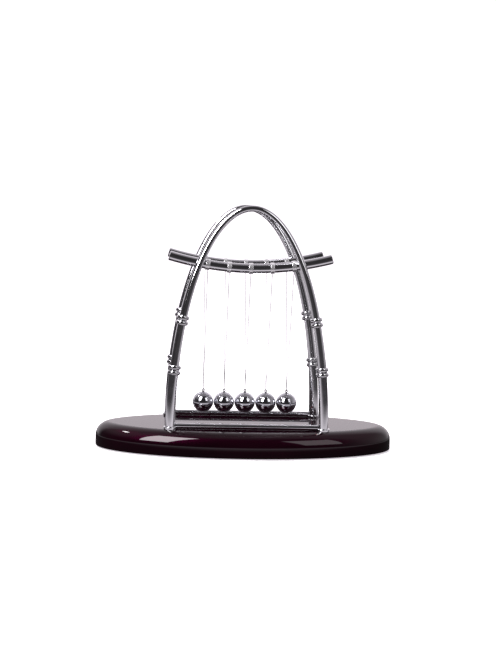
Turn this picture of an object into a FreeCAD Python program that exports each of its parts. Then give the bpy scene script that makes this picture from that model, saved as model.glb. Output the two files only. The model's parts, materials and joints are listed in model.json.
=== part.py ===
import FreeCAD, Part
import os
import re
import Sketcher

# A desk Newton's cradle.  A glossy oval base carries two tapered chrome arches,
# one in front and one behind.  Each arch is closed at the bottom by a lower bar
# and wears two double-beaded collars on each leg.  Two gently sagging rails are let
# into the inner sides of the arches.  Five steel balls hang between the rails, each
# on one nylon string that runs from a band on the front rail, through the eye on the
# ball, to a band on the rear rail.
#
# Frame: millimetres, X along the base, Y from front to back, Z up.  The origin is
# the middle of the footprint, on the surface that the cradle stands on.

# ---------------------------------------------------------------- driving sizes

SIZES = {
    # oval base
    "base_length": 230.0,
    "base_depth": 104.0,
    "base_height": 18.4,
    "base_top_round": 11.0,
    "base_lower_round": 0.8,
    # rubber pads, sunk into the underside
    "pad_diameter": 13.0,
    "pad_height": 2.5,
    "pad_stand": 1.0,
    "pad_edge": 0.6,
    "pad_inset": 17.0,
    "pad_turn": 36.0,
    # screws that hold the legs from below
    "leg_screw_diameter": 4.0,
    "leg_screw_bite": 11.0,
    "leg_tap_spare": 1.0,
    "leg_head_diameter": 7.6,
    "leg_head_height": 2.6,
    "leg_socket_width": 3.0,
    "leg_socket_depth": 1.6,
    "washer_diameter": 9.0,
    "washer_thickness": 0.8,
    "counterbore_depth": 6.0,
    "counterbore_gap": 0.5,
    # arches, half an ellipse on their centreline
    "arch_half_width": 58.0,
    "arch_rise": 166.6,
    "leg_inset": 21.0,
    "rod_foot": 7.7,
    "rod_apex": 4.7,
    # double-beaded collars on the legs
    "collar_length": 7.2,
    "collar_proud": 1.5,
    "collar_groove": 0.9,
    "collar_groove_floor": 0.3,
    "collar_round": 1.1,
    "upper_collar_rise": 82.4,
    "lower_collar_rise": 44.8,
    # rings round the feet, and the bars between the feet
    "foot_ring_height": 2.0,
    "foot_ring_proud": 1.1,
    "foot_ring_round": 0.7,
    "lower_bar_diameter": 4.4,
    "lower_bar_entry": 2.0,
    # rails that the strings hang from
    "rail_diameter": 7.2,
    "rail_half_length": 60.8,
    "rail_bend_radius": 227.0,
    "rail_seat_depth": 2.8,
    "rail_side_gap": 4.3,
    "rail_end_chamfer": 0.4,
    "pin_diameter": 2.0,
    "pin_bite": 1.2,
    "pin_reach": 2.0,
    # bands that grip the strings on the rails
    "band_width": 3.2,
    "band_thickness": 0.55,
    "band_round": 0.4,
    # balls, eyes and strings
    "ball_diameter": 16.0,
    "ball_gap": 0.2,
    "ball_lift": 8.1,
    "eye_stem_diameter": 1.6,
    "eye_stem_depth": 4.0,
    "eye_ring_radius": 0.85,
    "eye_wire_diameter": 0.75,
    "eye_lift": 1.25,
    "string_diameter": 0.5,
    # clearances
    "seat_gap": 0.05,
    "press_gap": 0.02,
    "collar_gap": 0.07,
    "hole_gap": 0.25,
    "string_gap": 0.35,
}

# Sizes that follow from the driving ones.  Each is written out in full when a
# feature is bound to it, so the document still depends on the sheet alone.
FORMULAS = {
    "base_top": "pad_stand + base_height",
    "pad_x": "(base_length / 2 - pad_inset) * cos(pad_turn)",
    "pad_y": "(base_depth / 2 - pad_inset) * sin(pad_turn)",
    "arch_y": "base_depth / 2 - leg_inset",
    "washer_top": "pad_stand + counterbore_depth",
    "ball_pitch": "ball_diameter + ball_gap",
    "ball_height": "base_top + ball_lift + ball_diameter / 2",
    "string_turn_height": "ball_height + ball_diameter / 2 + eye_lift + eye_ring_radius",
    "string_turn_radius": "(eye_wire_diameter + string_diameter) / 2 + seat_gap",
    "seat_x": "2 * ball_pitch + band_width / 2 + rail_side_gap",
    "seat_share": "sqrt(1 - (seat_x / arch_half_width) ^ 2)",
    "seat_rise": "arch_rise * seat_share",
    "seat_rod": "rod_foot - (rod_foot - rod_apex) * seat_share",
    "seat_tilt": "atan(arch_half_width * seat_share / (arch_rise * seat_x / arch_half_width))",
    "seat_sag": "rail_bend_radius - sqrt(rail_bend_radius ^ 2 - seat_x ^ 2)",
    "rail_height": "base_top + seat_rise - seat_sag",
    "rail_inset": "seat_rod / 2 + rail_diameter / 2 - rail_seat_depth",
    "rail_y": "arch_y - rail_inset",
    "band_radius": "rail_diameter / 2 + seat_gap + band_thickness",
}

ARCH_STATIONS = 25    # with 17 the rod strays 0.3 mm from its ellipse near the feet
BALL_COUNT = 5
SIDES = {"left": -1, "right": 1}
FACES = {"front": -1, "rear": 1}

document = FreeCAD.newDocument("NewtonsCradle")
sizes = document.addObject("Spreadsheet::Sheet", "Sizes")
for row, (alias, number) in enumerate(SIZES.items(), start=1):
    sizes.set(f"A{row}", alias)
    sizes.set(f"B{row}", str(number))
    sizes.setAlias(f"B{row}", alias)
document.recompute()

# ---------------------------------------------------------------- shared helpers


def linked(text):
    """Write a formula out with every size as a reference to its sheet cell."""
    def reference(match):
        word = match.group(0)
        if word in FORMULAS:
            return "(" + linked(FORMULAS[word]) + ")"
        return "Sizes." + word if word in SIZES else word
    return re.sub(r"[a-z][a-z_]*", reference, text)


def number_of(text):
    """Work a formula out as a plain number."""
    value = sizes.evalExpression(linked(text))
    return float(getattr(value, "Value", value))


def bind(thing, **formulas):
    """Bind properties of one object to formulas of the sheet's sizes."""
    for name, text in formulas.items():
        thing.setExpression(name, linked(text))


def place(thing, x="0", y="0", z="0", axis=(0, 1, 0), angle="0", name="Placement"):
    """Bind a placement: a position, and a turn about one axis."""
    turn = "rotation(vector({};{};{});{})".format(*axis, linked(angle))
    spot = f"vector({linked(x)};{linked(y)};{linked(z)})"
    thing.setExpression(name, f"placement({spot};{turn})")


def new_body(label):
    """Start a body whose label names its file."""
    body = document.addObject("PartDesign::Body", label)
    body.Label = label
    return body


def origin_plane(body, role):
    """Find one of the body's own origin planes."""
    return next(item for item in body.Origin.OriginFeatures if item.Role == role)


def new_sketch(body, name, role):
    """Start a sketch on one of the body's own origin planes."""
    sketch = body.newObject("Sketcher::SketchObject", name)
    sketch.AttachmentSupport = [(origin_plane(body, role), "")]
    sketch.MapMode = "FlatFace"
    return sketch


def fix_point(sketch, geometry, end, across, up):
    """Hold one point of the sketch at the two formulas, measured from its origin."""
    for kind, text, axis in (("DistanceX", across, -2), ("DistanceY", up, -1)):
        number = number_of(text)
        if abs(number) < 1e-9:
            sketch.addConstraint(Sketcher.Constraint("PointOnObject", geometry, end, axis))
            continue
        pair = (-1, 1, geometry, end) if number > 0 else (geometry, end, -1, 1)
        index = sketch.addConstraint(Sketcher.Constraint(kind, *pair, abs(number)))
        sketch.setExpression(f"Constraints[{index}]", linked(text if number > 0 else f"-({text})"))


def add_circle(sketch, across, up, diameter):
    """Draw a circle at two formulas, with a formula for its diameter."""
    centre = FreeCAD.Vector(number_of(across), number_of(up), 0)
    circle = Part.Circle(centre, FreeCAD.Vector(0, 0, 1), number_of(diameter) / 2)
    geometry = sketch.addGeometry(circle)
    fix_point(sketch, geometry, 3, across, up)
    index = sketch.addConstraint(Sketcher.Constraint("Diameter", geometry, number_of(diameter)))
    sketch.setExpression(f"Constraints[{index}]", linked(diameter))


def add_outline(sketch, points):
    """Draw a closed outline through points given as pairs of formulas."""
    spots = [FreeCAD.Vector(number_of(across), number_of(up), 0) for across, up in points]
    lines = [Part.LineSegment(spot, spots[(i + 1) % len(spots)]) for i, spot in enumerate(spots)]
    first = sketch.addGeometry(lines)[0]
    for i, (across, up) in enumerate(points):
        before = first + (i - 1) % len(points)
        sketch.addConstraint(Sketcher.Constraint("Coincident", before, 2, first + i, 1))
        fix_point(sketch, first + i, 1, across, up)


def circles_sketch(body, name, role, circles):
    """A sketch that holds nothing but circles: (across, up, diameter) each."""
    sketch = new_sketch(body, name, role)
    for across, up, diameter in circles:
        add_circle(sketch, across, up, diameter)
    return sketch


def pocket(body, name, sketch, depth, reverse=False):
    """Cut the sketch into the body, and make sure that it took material away."""
    document.recompute()
    before = body.Shape.Volume
    cut = body.newObject("PartDesign::Pocket", name)
    cut.Profile = sketch
    cut.Reversed = reverse
    bind(cut, Length=depth)
    document.recompute()
    if body.Shape.Volume > before - 0.01:
        raise RuntimeError(f"{body.Label}: {name} cuts nothing")
    return cut


def turned(body, points, axis="V_Axis", role="XZ_Plane"):
    """Turn a closed outline a full circle about an axis of its sketch."""
    sketch = new_sketch(body, "Section", role)
    add_outline(sketch, points)
    lathe = body.newObject("PartDesign::Revolution", "Turned")
    lathe.Profile = sketch
    lathe.ReferenceAxis = (sketch, [axis])
    lathe.Angle = 360.0
    document.recompute()
    return lathe


def dress(body, kind, edges, **formulas):
    """Round or chamfer the named edges of the body's last feature."""
    base = body.Tip
    feature = body.newObject("PartDesign::" + kind, kind)
    feature.Base = (base, edges)
    bind(feature, **formulas)
    document.recompute()
    if not feature.isValid():
        raise RuntimeError(f"{body.Label}: {kind} failed on {len(edges)} edges")


def edges_where(shape, test):
    """Names of the edges that pass a test."""
    return [f"Edge{i}" for i, edge in enumerate(shape.Edges, start=1) if test(edge)]


def lies_at(height):
    """Test for an edge that is level, at one height."""
    level = number_of(height)
    return lambda edge: max(abs(edge.BoundBox.ZMin - level), abs(edge.BoundBox.ZMax - level)) < 1e-4


def has_radius(formula):
    """Test for a round edge of one radius."""
    radius = number_of(formula)
    return lambda edge: hasattr(edge.Curve, "Radius") and abs(edge.Curve.Radius - radius) < 1e-4


def arch_offset(rise):
    """How far from the middle an arch's centreline is at a height above the base."""
    return f"arch_half_width * sqrt(1 - ({rise} / arch_rise) ^ 2)"


def rod_width(rise):
    """Diameter of the tapered arch rod at a height above the base."""
    return f"(rod_foot - (rod_foot - rod_apex) * {rise} / arch_rise)"


def rod_tilt(rise):
    """Lean of the arch rod from upright at a height above the base."""
    return f"atan(arch_half_width * {rise} / (arch_rise * arch_rise * sqrt(1 - ({rise} / arch_rise) ^ 2)))"


def ball_offset(number):
    """Place of one ball along the row, counted from one at the left."""
    return f"({number - (BALL_COUNT + 1) / 2}) * ball_pitch"


def rail_rise(x):
    """How much higher the rail's centreline is at x than in its middle."""
    return f"(rail_bend_radius - sqrt(rail_bend_radius ^ 2 - ({x}) ^ 2))"


def hinge_height(number):
    """Height of the line that one ball swings about, through both ends of its string."""
    x = ball_offset(number)
    below = f"band_radius * rail_bend_radius / sqrt(rail_bend_radius ^ 2 - ({x}) ^ 2)"
    return f"rail_height + {rail_rise(x)} - {below} - string_gap"


# ---------------------------------------------------------------- base and feet


def make_base():
    """Oval board with a full round on its top edge, bored and recessed from below."""
    body = new_body("base")
    oval = new_sketch(body, "Oval", "XY_Plane")
    place(oval, z="pad_stand", name="AttachmentOffset")
    half_length, half_depth = number_of("base_length / 2"), number_of("base_depth / 2")
    centre = FreeCAD.Vector(0, 0, 0)
    ends = FreeCAD.Vector(half_length, 0, 0), FreeCAD.Vector(0, half_depth, 0)
    ring = oval.addGeometry(Part.Ellipse(ends[0], ends[1], centre))
    oval.exposeInternalGeometry(ring)
    oval.addConstraint(Sketcher.Constraint("Coincident", ring, 3, -1, 1))
    oval.addConstraint(Sketcher.Constraint("Horizontal", ring + 1))
    for line, alias in ((ring + 1, "base_length"), (ring + 2, "base_depth")):
        index = oval.addConstraint(Sketcher.Constraint("Distance", line, number_of(alias)))
        oval.setExpression(f"Constraints[{index}]", linked(alias))
    pad = body.newObject("PartDesign::Pad", "Board")
    pad.Profile = oval
    bind(pad, Length="base_height")
    document.recompute()
    dress(body, "Fillet", edges_where(body.Shape, lies_at("base_top")), Radius="base_top_round")
    dress(body, "Fillet", edges_where(body.Shape, lies_at("pad_stand")), Radius="base_lower_round")
    legs = [(f"{x} * arch_half_width", f"{y} * arch_y") for x in (-1, 1) for y in (-1, 1)]
    pads = [(f"{x} * pad_x", f"{y} * pad_y") for x in (-1, 1) for y in (-1, 1)]
    cuts = (
        ("PadRecesses", pads, "pad_diameter + hole_gap", "pad_height"),
        ("Counterbores", legs, "washer_diameter + 2 * counterbore_gap", "washer_top"),
        ("ScrewHoles", legs, "leg_screw_diameter + 2 * hole_gap", "base_top"),
    )
    for name, spots, diameter, depth in cuts:
        sketch = circles_sketch(body, name, "XY_Plane", [(x, y, diameter) for x, y in spots])
        pocket(body, name + "Cut", sketch, depth, reverse=True)


def make_pads():
    """Four rubber pads with a slightly rounded rim, glued into their recesses."""
    for face, y_side in FACES.items():
        for side, x_side in SIDES.items():
            body = new_body(f"{face}_{side}_pad")
            radius = "pad_diameter / 2"
            turned(body, [("0", "0"), (radius, "0"), (radius, "pad_height"), ("0", "pad_height")])
            dress(body, "Chamfer", edges_where(body.Shape, lies_at("0")), Size="pad_edge")
            place(body, x=f"{x_side} * pad_x", y=f"{y_side} * pad_y")


def grouped(label, shape_maker, x, y, z):
    """One node of four like solids, one under each leg."""
    pieces = []
    for y_side in FACES.values():
        for x_side in SIDES.values():
            piece = shape_maker()
            place(piece, x=f"{x_side} * {x}", y=f"{y_side} * {y}", z=z)
            pieces.append(piece)
    group = document.addObject("Part::Compound", label)
    group.Links = pieces
    group.Label = label
    return group


def make_screw():
    """Cap screw: head below its seat, shank above it, six-sided socket in the head."""
    head = document.addObject("Part::Cylinder", "Head")
    bind(head, Radius="leg_head_diameter / 2", Height="leg_head_height")
    place(head, z="-leg_head_height")
    shank = document.addObject("Part::Cylinder", "Shank")
    bind(shank, Radius="leg_screw_diameter / 2")
    bind(shank, Height="base_top - washer_top + washer_thickness + leg_screw_bite")
    solid = document.addObject("Part::Fuse", "Blank")
    solid.Base, solid.Tool = head, shank
    socket = document.addObject("Part::Prism", "Socket")
    socket.Polygon = 6
    bind(socket, Circumradius="leg_socket_width / sqrt(3)", Height="leg_socket_depth")
    place(socket, z="-leg_head_height")
    screw = document.addObject("Part::Cut", "Screw")
    screw.Base, screw.Tool = solid, socket
    return screw


def make_washer():
    """Flat washer between a screw head and the counterbore's ceiling."""
    disc = document.addObject("Part::Cylinder", "Disc")
    bind(disc, Radius="washer_diameter / 2", Height="washer_thickness")
    hole = document.addObject("Part::Cylinder", "Hole")
    bind(hole, Radius="leg_screw_diameter / 2 + hole_gap", Height="washer_thickness")
    washer = document.addObject("Part::Cut", "Washer")
    washer.Base, washer.Tool = disc, hole
    return washer


# ---------------------------------------------------------------- arches


def make_arch(label, side):
    """Tapered rod bent to half an ellipse, tapped at both feet, drilled for two pins."""
    body = new_body(label)
    sections = []
    for i in range(ARCH_STATIONS):
        step = f"{180 * i / (ARCH_STATIONS - 1)}"
        sketch = new_sketch(body, f"Station{i}", "XY_Plane")
        add_circle(sketch, "0", "0", f"rod_foot - (rod_foot - rod_apex) * sin({step})")
        lean = f"-atan2(arch_half_width * sin({step}); arch_rise * cos({step}))"
        x, z = f"arch_half_width * cos({step})", f"arch_rise * sin({step})"
        place(sketch, x=x, z=z, angle=lean, name="AttachmentOffset")
        sections.append(sketch)
    rod = body.newObject("PartDesign::AdditiveLoft", "Rod")
    rod.Profile = sections[0]
    rod.Sections = sections[1:]
    taps = [(f"{x} * arch_half_width", "0", "leg_screw_diameter + 2 * press_gap") for x in (-1, 1)]
    tapped = circles_sketch(body, "Taps", "XY_Plane", taps)
    pocket(body, "TapCut", tapped, "leg_screw_bite + leg_tap_spare", reverse=True)
    pins = [(f"{x} * seat_x", "seat_rise", "pin_diameter + 2 * press_gap") for x in (-1, 1)]
    drill = circles_sketch(body, "PinHoles", "XZ_Plane", pins)
    place(drill, z="pin_bite", name="AttachmentOffset")
    pocket(body, "PinCut", drill, "pin_bite + rod_foot / 2")
    place(body, y=f"{side} * arch_y", z="base_top", axis=(0, 0, 1), angle="0" if side < 0 else "180")


def make_collar(label, rise, x_side, y_side):
    """Two round beads with a groove between them, threaded on a leg."""
    body = new_body(label)
    bore = f"{rod_width(rise)} / 2 + collar_gap"
    crest = f"{rod_width(rise)} / 2 + collar_proud"
    floor = f"{rod_width(rise)} / 2 + collar_groove_floor"
    end, groove = "collar_length / 2", "collar_groove / 2"
    points = [(bore, "-" + end), (crest, "-" + end), (crest, "-" + groove), (floor, "-" + groove),
              (floor, groove), (crest, groove), (crest, end), (bore, end)]
    turned(body, points)
    dress(body, "Fillet", edges_where(body.Shape, has_radius(crest)), Radius="collar_round")
    x = f"{x_side} * {arch_offset(rise)}"
    lean = f"{-x_side} * {rod_tilt(rise)}"
    place(body, x=x, y=f"{y_side} * arch_y", z=f"base_top + {rise}", angle=lean)


def make_foot_ring(label, x_side, y_side):
    """Low ring that covers the joint between a leg and the base."""
    body = new_body(label)
    bore, rim = "rod_foot / 2 + seat_gap", "rod_foot / 2 + foot_ring_proud"
    top = "foot_ring_height"
    turned(body, [(bore, "0"), (rim, "0"), (rim, top), (bore, top)])
    upper_rim = edges_where(body.Shape, lambda edge: has_radius(rim)(edge) and lies_at(top)(edge))
    dress(body, "Fillet", upper_rim, Radius="foot_ring_round")
    place(body, x=f"{x_side} * arch_half_width", y=f"{y_side} * arch_y", z="base_top")


def make_lower_bar(label, side):
    """Round bar lying on the base between an arch's feet, coped round legs and rings."""
    body = new_body(label)
    section = circles_sketch(body, "Section", "YZ_Plane", [("0", "0", "lower_bar_diameter")])
    place(section, z="lower_bar_entry - arch_half_width", name="AttachmentOffset")
    bar = body.newObject("PartDesign::Pad", "Bar")
    bar.Profile = section
    bind(bar, Length="2 * (arch_half_width - lower_bar_entry)")
    spots = [f"{x} * arch_half_width" for x in (-1, 1)]
    lift = "lower_bar_diameter / 2 + seat_gap"
    cuts = (
        ("Legs", "rod_foot + 2 * seat_gap", "lower_bar_diameter + 2 * seat_gap"),
        ("Rings", "rod_foot + 2 * foot_ring_proud + 2 * seat_gap", "foot_ring_height + seat_gap"),
    )
    for name, diameter, height in cuts:
        sketch = circles_sketch(body, name, "XY_Plane", [(x, "0", diameter) for x in spots])
        place(sketch, z=f"-({lift})", name="AttachmentOffset")
        pocket(body, name + "Cut", sketch, height, reverse=True)
    place(body, y=f"{side} * arch_y", z=f"base_top + {lift}")


# ---------------------------------------------------------------- rails and bands


def make_rail(label, side):
    """Round rail on a wide arc, notched where the arch rod seats, drilled for its pins."""
    body = new_body(label)
    section = new_sketch(body, "Section", "YZ_Plane")
    add_circle(section, "0", "0", "rail_diameter")
    bend, reach = number_of("rail_bend_radius"), number_of("rail_diameter")
    ends = FreeCAD.Vector(-reach, bend, 0), FreeCAD.Vector(reach, bend, 0)
    axis = section.addGeometry(Part.LineSegment(*ends), True)
    fix_point(section, axis, 1, "-rail_diameter", "rail_bend_radius")
    fix_point(section, axis, 2, "rail_diameter", "rail_bend_radius")
    sweep = body.newObject("PartDesign::Revolution", "Arc")
    sweep.Profile = section
    sweep.ReferenceAxis = (section, ["Axis0"])
    sweep.Midplane = True
    bind(sweep, Angle="2 * asin(rail_half_length / rail_bend_radius)")
    for name, x_side in SIDES.items():
        # a short cone on each end: a chamfer on the arc's own rim spoils the STEP file
        tip = body.newObject("PartDesign::AdditiveCone", "Tip" + name.capitalize())
        bind(tip, Radius1="rail_diameter / 2", Radius2="rail_diameter / 2 - rail_end_chamfer")
        bind(tip, Height="rail_end_chamfer")
        lean = f"{x_side} * acos(rail_half_length / rail_bend_radius)"
        place(tip, x=f"{x_side} * rail_half_length", z=rail_rise("rail_half_length"), angle=lean)
    document.recompute()
    solid_rail = body.Shape.Volume
    for name, x_side in SIDES.items():
        notch = body.newObject("PartDesign::SubtractiveCylinder", "Notch" + name.capitalize())
        bind(notch, Radius="seat_rod / 2 + seat_gap", Height="2 * rail_diameter")
        x = f"{x_side} * (seat_x + rail_diameter * sin(seat_tilt))"
        z = "seat_sag - rail_diameter * cos(seat_tilt)"
        place(notch, x=x, y="-rail_inset", z=z, angle=f"{-x_side} * seat_tilt")
    document.recompute()
    if body.Shape.Volume > solid_rail - 1.0:
        raise RuntimeError(f"{label}: the notches cut nothing")
    pins = [(f"{x} * seat_x", "seat_sag", "pin_diameter + 2 * press_gap") for x in (-1, 1)]
    drill = circles_sketch(body, "PinHoles", "XZ_Plane", pins)
    place(drill, z="rail_diameter", name="AttachmentOffset")
    pocket(body, "PinCut", drill, "rail_diameter + pin_reach + seat_gap")
    place(body, y=f"{side} * rail_y", z="rail_height", axis=(0, 0, 1), angle="0" if side < 0 else "180")


def make_pin():
    """Dowel that ties a rail to an arch rod, laid along Y with its middle at its origin."""
    pin = document.addObject("Part::Cylinder", "Pin")
    bind(pin, Radius="pin_diameter / 2", Height="rail_inset + pin_bite + pin_reach - seat_gap")
    holder = document.addObject("Part::Compound", "LaidPin")
    holder.Links = [pin]
    place(pin, y="(rail_inset + pin_bite + pin_reach - seat_gap) / 2", axis=(1, 0, 0), angle="90")
    return holder


def make_band(label, number, side):
    """Flat band round a rail that grips the end of one string."""
    body = new_body(label)
    bore, rim = "rail_diameter / 2 + seat_gap", "band_radius"
    end = "band_width / 2"
    points = [("-" + end, bore), (end, bore), (end, rim), ("-" + end, rim)]
    turned(body, points, axis="H_Axis")
    dress(body, "Fillet", edges_where(body.Shape, has_radius(rim)), Radius="band_round")
    x = ball_offset(number)
    lean = f"-asin({x} / rail_bend_radius)"
    place(body, x=x, y=f"{side} * rail_y", z=f"rail_height + {rail_rise(x)}", angle=lean)


# ---------------------------------------------------------------- balls and strings


def make_ball(number):
    """Steel ball with a blind hole in its top for the eye's stem."""
    sphere = document.addObject("Part::Sphere", "Sphere")
    bind(sphere, Radius="ball_diameter / 2")
    hole = document.addObject("Part::Cylinder", "StemHole")
    bind(hole, Radius="eye_stem_diameter / 2 + press_gap", Height="ball_diameter / 2")
    place(hole, z="ball_diameter / 2 - eye_stem_depth - seat_gap")
    ball = document.addObject("Part::Cut", f"ball_{number}")
    ball.Base, ball.Tool = sphere, hole
    place(ball, x=ball_offset(number), z="ball_height")


def make_eye(number):
    """Small wire eye on a stem, its hole facing front to back."""
    stem = document.addObject("Part::Cylinder", "Stem")
    reach = "eye_lift - eye_ring_radius"
    bind(stem, Radius="eye_stem_diameter / 2", Height=f"eye_stem_depth + {reach}")
    place(stem, z="-eye_stem_depth")
    ring = document.addObject("Part::Torus", "Ring")
    bind(ring, Radius1="eye_ring_radius", Radius2="eye_wire_diameter / 2")
    place(ring, z="eye_lift", axis=(1, 0, 0), angle="90")
    eye = document.addObject("Part::Fuse", f"ball_{number}_eye")
    eye.Base, eye.Tool = stem, ring
    place(eye, x=ball_offset(number), z="ball_height + ball_diameter / 2")


def make_string(number):
    """One length of nylon: down from the front band, under the eye's wire and up again."""
    body = new_body(f"string_{number}")
    top = f"({hinge_height(number)} - string_turn_height)"
    distance = f"sqrt(rail_y ^ 2 + {top} ^ 2)"
    lean = f"(acos(string_turn_radius / {distance}) - atan2({top}; rail_y))"
    route = new_sketch(body, "Route", "YZ_Plane")
    reach, height = number_of("rail_y"), number_of(top)
    radius, slope = number_of("string_turn_radius"), number_of(lean)
    cosine, sine = number_of(f"cos({slope})"), number_of(f"sin({slope})")
    left, right = (FreeCAD.Vector(s * radius * cosine, -radius * sine, 0) for s in (-1, 1))
    bottom = FreeCAD.Vector(0, -radius, 0)
    route.addGeometry([
        Part.LineSegment(FreeCAD.Vector(-reach, height, 0), left),
        Part.Arc(left, bottom, right),
        Part.LineSegment(right, FreeCAD.Vector(reach, height, 0)),
    ])
    fix_point(route, 0, 1, "-rail_y", top)
    fix_point(route, 2, 2, "rail_y", top)
    route.addConstraint(Sketcher.Constraint("Coincident", 1, 3, -1, 1))
    route.addConstraint(Sketcher.Constraint("Tangent", 0, 2, 1, 1))
    route.addConstraint(Sketcher.Constraint("Tangent", 1, 2, 2, 1))
    index = route.addConstraint(Sketcher.Constraint("Radius", 1, radius))
    route.setExpression(f"Constraints[{index}]", linked("string_turn_radius"))
    section = circles_sketch(body, "Section", "XY_Plane", [("0", "0", "string_diameter")])
    place(section, y="-rail_y", z=top, axis=(1, 0, 0), angle=lean, name="AttachmentOffset")
    strand = body.newObject("PartDesign::AdditivePipe", "Strand")
    strand.Profile = section
    strand.Spine = (route, [])
    strand.Transition = "Transformed"
    place(body, x=ball_offset(number), z="string_turn_height")
    document.recompute()
    length = route.Shape.Length
    expected = length * Part.Face(section.Shape.Wires).Area
    if abs(body.Shape.Volume / expected - 1) > 0.01:
        raise RuntimeError(f"string_{number}: the strand's volume isn't its section times its length")
    print(f"string_{number}: {length:.1f} mm long, round an arc of {radius:.3f} mm")


# ---------------------------------------------------------------- the whole cradle

make_base()
make_pads()
grouped("leg_washers", make_washer, "arch_half_width", "arch_y", "washer_top - washer_thickness")
grouped("leg_screws", make_screw, "arch_half_width", "arch_y", "washer_top - washer_thickness")
for face, y_side in FACES.items():
    make_arch(f"{face}_arch", y_side)
    make_lower_bar(f"{face}_lower_bar", y_side)
    make_rail(f"{face}_rail", y_side)
    for side, x_side in SIDES.items():
        make_collar(f"{face}_{side}_upper_collar", "upper_collar_rise", x_side, y_side)
        make_collar(f"{face}_{side}_lower_collar", "lower_collar_rise", x_side, y_side)
        make_foot_ring(f"{face}_{side}_foot_ring", x_side, y_side)
    for number in range(1, BALL_COUNT + 1):
        make_band(f"{face}_band_{number}", number, y_side)
pin_middle = "(arch_y + pin_bite + rail_y - pin_reach) / 2"
grouped("rail_pins", make_pin, "seat_x", f"({pin_middle})", "base_top + seat_rise")
for number in range(1, BALL_COUNT + 1):
    make_ball(number)
    make_eye(number)
    make_string(number)
document.recompute()

# ---------------------------------------------------------------- check and write

for thing in document.Objects:
    if "Invalid" in thing.State or "Error" in thing.State:
        raise RuntimeError(f"{thing.Label}: {thing.State}")

used = {child.Name for thing in document.Objects for child in thing.OutList
        if not thing.isDerivedFrom("PartDesign::Body")}
nodes = [thing for thing in document.Objects
         if thing.isDerivedFrom("Part::Feature") and thing.Name not in used
         and thing.getParentGeoFeatureGroup() is None]

os.makedirs("parts", exist_ok=True)
for node in nodes:
    if node.Shape.isNull() or not node.Shape.isValid():
        raise RuntimeError(f"{node.Label}: no valid shape")
for node in nodes:
    node.Shape.exportStep(os.path.join("parts", node.Label + ".step"))
print(f"{len(nodes)} nodes written")
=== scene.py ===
# %% [markdown]
# # A desk Newton's cradle
#
# Five steel balls hang in a row between two chrome arches that stand on an oval,
# lacquered board. The CAD model is loaded first as a fixed frame: it says where
# every part is and how the balls swing. What follows dresses that frame, part by
# part, with smooth meshes and finished surfaces.

import json
import math

import bmesh
import bpy
from mathutils import Matrix, Vector


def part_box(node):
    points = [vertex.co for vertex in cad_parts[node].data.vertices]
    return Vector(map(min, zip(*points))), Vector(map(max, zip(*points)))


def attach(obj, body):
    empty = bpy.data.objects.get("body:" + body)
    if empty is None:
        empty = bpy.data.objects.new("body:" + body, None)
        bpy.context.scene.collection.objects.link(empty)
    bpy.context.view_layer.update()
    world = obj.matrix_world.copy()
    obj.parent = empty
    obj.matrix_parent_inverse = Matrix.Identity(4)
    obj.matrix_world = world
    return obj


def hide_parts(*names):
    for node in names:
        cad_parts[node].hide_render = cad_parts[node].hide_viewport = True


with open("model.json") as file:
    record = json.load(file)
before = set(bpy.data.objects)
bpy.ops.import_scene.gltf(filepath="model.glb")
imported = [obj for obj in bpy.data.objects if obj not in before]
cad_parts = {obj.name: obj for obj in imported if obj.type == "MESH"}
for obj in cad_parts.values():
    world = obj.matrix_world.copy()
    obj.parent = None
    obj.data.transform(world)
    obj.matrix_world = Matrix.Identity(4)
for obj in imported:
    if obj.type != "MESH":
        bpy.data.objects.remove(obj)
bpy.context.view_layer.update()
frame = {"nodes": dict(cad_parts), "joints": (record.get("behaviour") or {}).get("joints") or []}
joints = {joint["name"]: joint for joint in frame["joints"]}

# %% [markdown]
# ## Sizes taken from the frame
#
# Places come from the boxes of the CAD nodes and from the joints, so the looks stay
# on the frame if its sizes change. Only a few section sizes, such as the thickness
# of a rod, are repeated here. Everything is in metres.

# %% Sizes
MM = 0.001
FACES = {"front": -1, "rear": 1}
SIDES = {"left": -1, "right": 1}
BALLS = (1, 2, 3, 4, 5)

board_low, board_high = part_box("base")
arch_low, arch_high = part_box("front_arch")
FOOT_RADIUS, APEX_RADIUS = 3.85 * MM, 2.35 * MM
ARCH_HALF_WIDTH = arch_high.x - FOOT_RADIUS
ARCH_RISE = arch_high.z - board_high.z - APEX_RADIUS
ARCH_ROW = abs(arch_low.y + arch_high.y) / 2

RAIL_RADIUS, RAIL_BEND, RAIL_CHAMFER = 3.6 * MM, 227.0 * MM, 0.4 * MM
RAIL_SEAT_GAP = 0.05 * MM
band_low, band_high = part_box("front_band_3")
rail_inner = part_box("front_rail")[1].y
RAIL_ROW = abs(rail_inner) + RAIL_RADIUS
RAIL_HEIGHT = (band_low.z + band_high.z) / 2

ball_low, ball_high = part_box("ball_3")
BALL_RADIUS = (ball_high.x - ball_low.x) / 2
BALL_HEIGHT = ball_low.z + BALL_RADIUS
BALL_PITCH = joints["ball_4_swing"]["pos_m"][0] - joints["ball_3_swing"]["pos_m"][0]
print(f"arch {2 * ARCH_HALF_WIDTH:.4f} wide, {ARCH_RISE:.4f} high; balls {2 * BALL_RADIUS:.4f}")


# %% [markdown]
# ## Node helpers
#
# Materials, the studio and the Geometry Nodes trees are all node graphs. Two small
# helpers keep them readable: one adds a node and fills its sockets, the other does
# arithmetic with numbers or sockets.

# %% Node helpers
def add(tree, kind, sockets=None, **properties):
    """Add a node, set its properties, and fill sockets with values or links."""
    node = tree.nodes.new(kind)
    for name, value in properties.items():
        setattr(node, name, value)
    for key, value in (sockets or {}).items():
        if isinstance(value, bpy.types.NodeSocket):
            tree.links.new(value, node.inputs[key])
        else:
            node.inputs[key].default_value = value
    return node


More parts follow.
